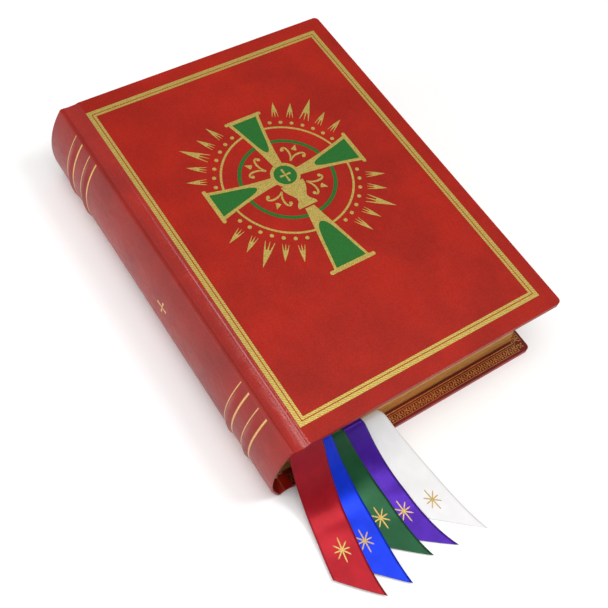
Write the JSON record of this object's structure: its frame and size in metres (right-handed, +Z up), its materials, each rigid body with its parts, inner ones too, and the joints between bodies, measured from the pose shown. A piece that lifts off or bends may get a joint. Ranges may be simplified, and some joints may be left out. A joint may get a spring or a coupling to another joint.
{
  "type": "prayer book",
  "caption": "Large leather-bound altar missal lying closed: rounded hollow spine with raised bands, gilt edges, gold cross on the cover, coloured satin marker ribbons.",
  "frame": {"origin": "centre of the back cover's outer face, on which the book rests", "axes": "+X from the spine to the fore-edge, +Y from the tail to the head, +Z up out of the front cover"},
  "size_m": [0.2297, 0.3918, 0.0691],
  "materials": {
    "red_leather": "smooth grained goatskin or calf, semi-gloss",
    "gilt_paper": "book paper with gilded edges",
    "paper": "matt book paper",
    "maroon_paper": "dark red endpaper, matt",
    "card": "grey-brown board",
    "linen": "plain woven linen",
    "band_silk": "silk thread over a core",
    "gold_foil": "stamped gold foil, satin",
    "green_foil": "stamped green foil, satin",
    "red_satin": "double-face satin ribbon",
    "blue_satin": "double-face satin ribbon",
    "green_satin": "double-face satin ribbon",
    "purple_satin": "double-face satin ribbon",
    "white_satin": "double-face satin ribbon"
  },
  "bodies": {
    "text_block": {"gatherings": "gilt_paper", "sewing_tapes": "linen", "spine_mull": "linen", "spine_lining": "card", "headband": "band_silk", "tailband": "band_silk", "spine_leather": "red_leather", "raised_bands": "red_leather", "spine_card": "card", "spine_fillets": "gold_foil", "front_joint_leather": "red_leather", "back_joint_leather": "red_leather", "front_inner_joint": "linen", "back_inner_joint": "linen", "ribbon_red": "red_satin", "ribbon_blue": "blue_satin", "ribbon_green": "green_satin", "ribbon_purple": "purple_satin", "ribbon_white": "white_satin"},
    "front_cover": {"front_cover_leather": "red_leather", "front_board": "card", "front_doublure": "maroon_paper", "front_inner_foil": "gold_foil", "front_frame_foil": "gold_foil", "emblem_gold": "gold_foil", "emblem_green": "green_foil"},
    "back_cover": {"back_cover_leather": "red_leather", "back_board": "card", "back_doublure": "maroon_paper", "back_inner_foil": "gold_foil"},
    "front_flyleaf": {"front_flyleaf": "maroon_paper"},
    "title_leaf": {"title_leaf": "paper"},
    "text_leaf": {"text_leaf": "paper"},
    "back_flyleaf": {"back_flyleaf": "maroon_paper"}
  },
  "joints": [
    {"name": "front_cover_hinge", "type": "hinge", "parent": "text_block", "child": "front_cover", "pos_m": [-0.1095, 0, 0.0696], "axis": [0, -1, 0], "range_deg": [0, 180], "deforming": ["front_joint_leather", "front_inner_joint"]},
    {"name": "back_cover_hinge", "type": "hinge", "parent": "text_block", "child": "back_cover", "pos_m": [-0.1095, 0, -0.0006], "axis": [0, 1, 0], "range_deg": [0, 180], "deforming": ["back_joint_leather", "back_inner_joint"]},
    {"name": "front_flyleaf_turn", "type": "hinge", "parent": "text_block", "child": "front_flyleaf", "pos_m": [-0.1095, 0, 0.0696], "axis": [0, -1, 0], "range_deg": [0, 180]},
    {"name": "title_leaf_turn", "type": "hinge", "parent": "text_block", "child": "title_leaf", "pos_m": [-0.1095, 0, 0.0696], "axis": [0, -1, 0], "range_deg": [0, 180]},
    {"name": "text_leaf_turn", "type": "hinge", "parent": "text_block", "child": "text_leaf", "pos_m": [-0.1095, 0, 0.0696], "axis": [0, -1, 0], "range_deg": [0, 180]},
    {"name": "back_flyleaf_turn", "type": "hinge", "parent": "text_block", "child": "back_flyleaf", "pos_m": [-0.1095, 0, -0.0006], "axis": [0, 1, 0], "range_deg": [0, 180]}
  ],
  "couplings": [
    {"joint": "front_flyleaf_turn", "follows": "front_cover_hinge", "ratio": 0.985},
    {"joint": "title_leaf_turn", "follows": "front_cover_hinge", "ratio": 0.94},
    {"joint": "text_leaf_turn", "follows": "front_cover_hinge", "ratio": 0.5},
    {"joint": "back_flyleaf_turn", "follows": "back_cover_hinge", "ratio": 0.985}
  ]
}
